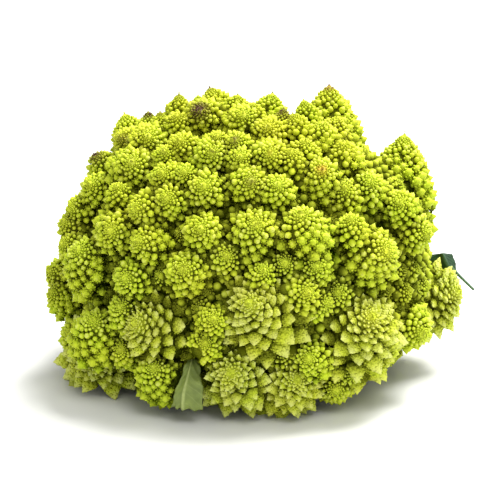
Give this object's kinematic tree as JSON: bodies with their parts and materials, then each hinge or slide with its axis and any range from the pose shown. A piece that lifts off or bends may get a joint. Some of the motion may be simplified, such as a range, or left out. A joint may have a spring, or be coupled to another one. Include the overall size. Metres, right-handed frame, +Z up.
{
  "type": "romanesco head",
  "caption": "Head of romanesco: a mound of pointed lime-green florets with spiralling buds, on a short cut stem, with leaf scraps caught between the florets.",
  "frame": {"origin": "on the table, at the middle of the stem's cut end", "axes": "+X across the head towards the dark leaf, -Y towards the side shown in the picture, +Z up out of the table"},
  "size_m": [0.1973, 0.1617, 0.1316],
  "materials": {
    "curd": "matt waxy plant tissue, lime green",
    "stem": "cut plant tissue, pale green",
    "leaf_pale": "waxy leaf, pale grey-green",
    "leaf_dark": "leaf, dark green"
  },
  "bodies": {
    "root": {"curd": "curd", "stem": "stem", "leaf_front": "leaf_pale", "leaf_side": "leaf_dark"}
  },
  "joints": []
}
